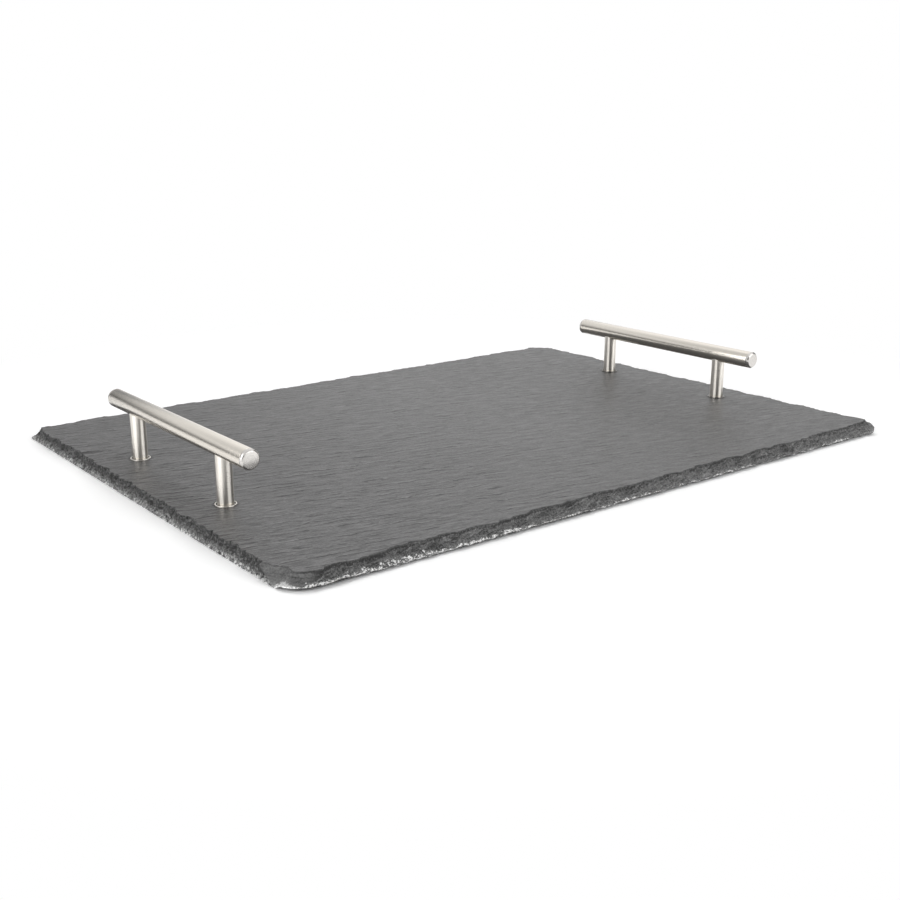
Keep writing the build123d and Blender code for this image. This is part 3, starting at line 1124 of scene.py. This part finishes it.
def rayKinds(wire):  # camera, glossy and transmission rays, each 1 or 0
    path = wire.node("ShaderNodeLightPath", {}, {}).socket.node
    names = ("Is Camera Ray", "Is Glossy Ray", "Is Transmission Ray")
    return [Wire(wire.tree, path.outputs[name]) for name in names]


def buildFloor():
    shape = bmesh.new()
    bmesh.ops.create_grid(shape, x_segments=1, y_segments=1, size=studio["floorSize"] / 2)
    mesh = bpy.data.meshes.new("floor")
    shape.to_mesh(mesh)
    shape.free()
    floor = bpy.data.objects.new("floor", mesh)
    bpy.context.scene.collection.objects.link(floor)
    material, wire, place = newMaterial("floor")
    camera, glossy, through = rayKinds(wire)
    seen = camera.most(glossy).most(through)
    away = wire.node("ShaderNodeVectorMath", {"operation": "LENGTH"}, {0: place}, 1)
    far = away.step(studio["plainNear"], studio["plainFar"]) * seen
    shade = seen.tint(grey(studio["floorLevel"]), grey(studio["seenLevel"]))
    paper = wire.node("ShaderNodeBsdfDiffuse", {}, {"Color": shade})
    white = wire.node("ShaderNodeEmission", {}, {"Color": grey(1.0), "Strength": 1.0})
    mixed = wire.node("ShaderNodeMixShader", {}, {0: far, 1: paper, 2: white})
    wire.node("ShaderNodeOutputMaterial", {}, {"Surface": mixed})
    mesh.materials.append(material)


def roomLevel(wire):  # what polished surfaces see around them
    way = wire.node("ShaderNodeTexCoord", {}, {}, 0)
    towards, right = (
        wire.node("ShaderNodeVectorMath", {"operation": "DOT_PRODUCT"}, {0: way, 1: studio[name]}, 1)
        for name in ("towards", "rightHand")
    )
    turn = wire.math("ARCTAN2", right, towards) / math.tau + 0.5
    wall = ramped(wire, way.axis(2), studio["backWall"])
    room, span, above = (
        ramped(wire, turn, turnStops(studio[name])) for name in ("roundabout", "wallSpan", "ceiling")
    )
    high = way.axis(2).step(*studio["ceilingFrom"])
    return high.blend(span.blend(room, wall), above)


def buildWorld():
    world = bpy.data.worlds.new("studio")
    world.use_nodes = True
    world.node_tree.nodes.clear()
    bpy.context.scene.world = world
    wire = Wire(world.node_tree)
    camera, glossy, through = rayKinds(wire)
    seen = camera.most(through)
    level = seen.blend(glossy.blend(studio["ambient"], roomLevel(wire)), 1.0)
    ground = wire.node("ShaderNodeBackground", {}, {"Color": grey(1.0), "Strength": level})
    wire.node("ShaderNodeOutputWorld", {}, {"Surface": ground})


def addLamp(name, place, size, level):  # a soft rectangle that faces the board
    lamp = bpy.data.lights.new(name, "AREA")
    lamp.shape = "RECTANGLE"
    lamp.size, lamp.size_y = size
    lamp.energy = level * math.pi * size[0] * size[1]
    lit = bpy.data.objects.new(name, lamp)
    lit.location = place
    lit.rotation_euler = (-Vector(place)).to_track_quat("-Z", "Y").to_euler()
    lit.visible_camera = False
    bpy.context.scene.collection.objects.link(lit)
    return lit


def buildLamps():
    panel = addLamp("panel", **studio["panel"])
    panel.visible_glossy = False  # metal shows the room and the soft lights
    for name, soft in studio["softLights"].items():
        turn = math.radians(soft["turn"])
        rise = math.radians(soft["rise"])
        level = Vector(studio["towards"]) * math.cos(turn) + Vector(studio["rightHand"]) * math.sin(turn)
        place = soft["away"] * (level * math.cos(rise) + Vector((0, 0, math.sin(rise))))
        addLamp(name, place, soft["size"], soft["level"])


eye = {
    "place": (-0.42127, -0.53739, 0.18995),
    "turn": 37.828,  # degrees right of straight along +Y
    "dip": 16.224,  # degrees below level
    "focalPixels": 1204.0,
    "pixels": 900,
    "sensor": 36.0,
    "clip": (0.01, 100.0),
}


def buildCamera():
    lens = bpy.data.cameras.new("eye")
    lens.sensor_width = eye["sensor"]
    lens.lens = eye["focalPixels"] / eye["pixels"] * eye["sensor"]
    lens.clip_start, lens.clip_end = eye["clip"]
    camera = bpy.data.objects.new("eye", lens)
    camera.location = eye["place"]
    camera.rotation_euler = (math.radians(90 - eye["dip"]), 0.0, math.radians(-eye["turn"]))
    bpy.context.scene.collection.objects.link(camera)
    bpy.context.scene.camera = camera


buildFloor()
buildWorld()
buildLamps()
buildCamera()
bpy.context.scene.view_settings.view_transform = "Standard"
print("studio ready")
